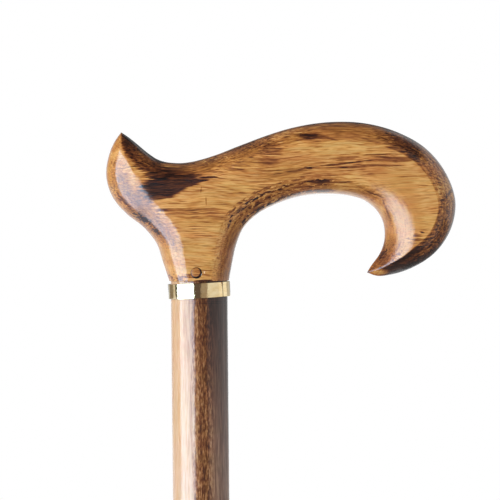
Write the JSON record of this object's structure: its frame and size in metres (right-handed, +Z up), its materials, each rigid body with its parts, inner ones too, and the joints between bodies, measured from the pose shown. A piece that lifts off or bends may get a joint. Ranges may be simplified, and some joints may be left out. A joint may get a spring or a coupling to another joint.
{
  "type": "derby cane",
  "caption": "Wooden walking cane with a derby handle, pegged tenon joint, brass collar and a push-on rubber ferrule.",
  "frame": {"origin": "on the shaft's axis, at the middle of the ferrule's ground face", "axes": "+Z up along the shaft, +X towards the handle's nose, Y across the handle's thickness"},
  "size_m": [0.1291, 0.036, 0.92],
  "materials": {
    "handle_wood": "scorched hardwood, gloss lacquer",
    "shaft_wood": "stained hardwood, gloss lacquer",
    "peg_wood": "end grain under lacquer",
    "collar_brass": "polished",
    "ferrule_rubber": "matt moulded rubber",
    "disc_steel": "zinc plated"
  },
  "bodies": {
    "stick": {"handle": "handle_wood", "shaft": "shaft_wood", "collar": "collar_brass", "joint_peg": "peg_wood"},
    "ferrule": {"rubber_ferrule": "ferrule_rubber", "ferrule_disc": "disc_steel"}
  },
  "joints": [
    {"name": "ferrule_pull_off", "type": "slide", "parent": "stick", "child": "ferrule", "axis": [0, 0, -1], "range_m": [0, 0.036]}
  ]
}
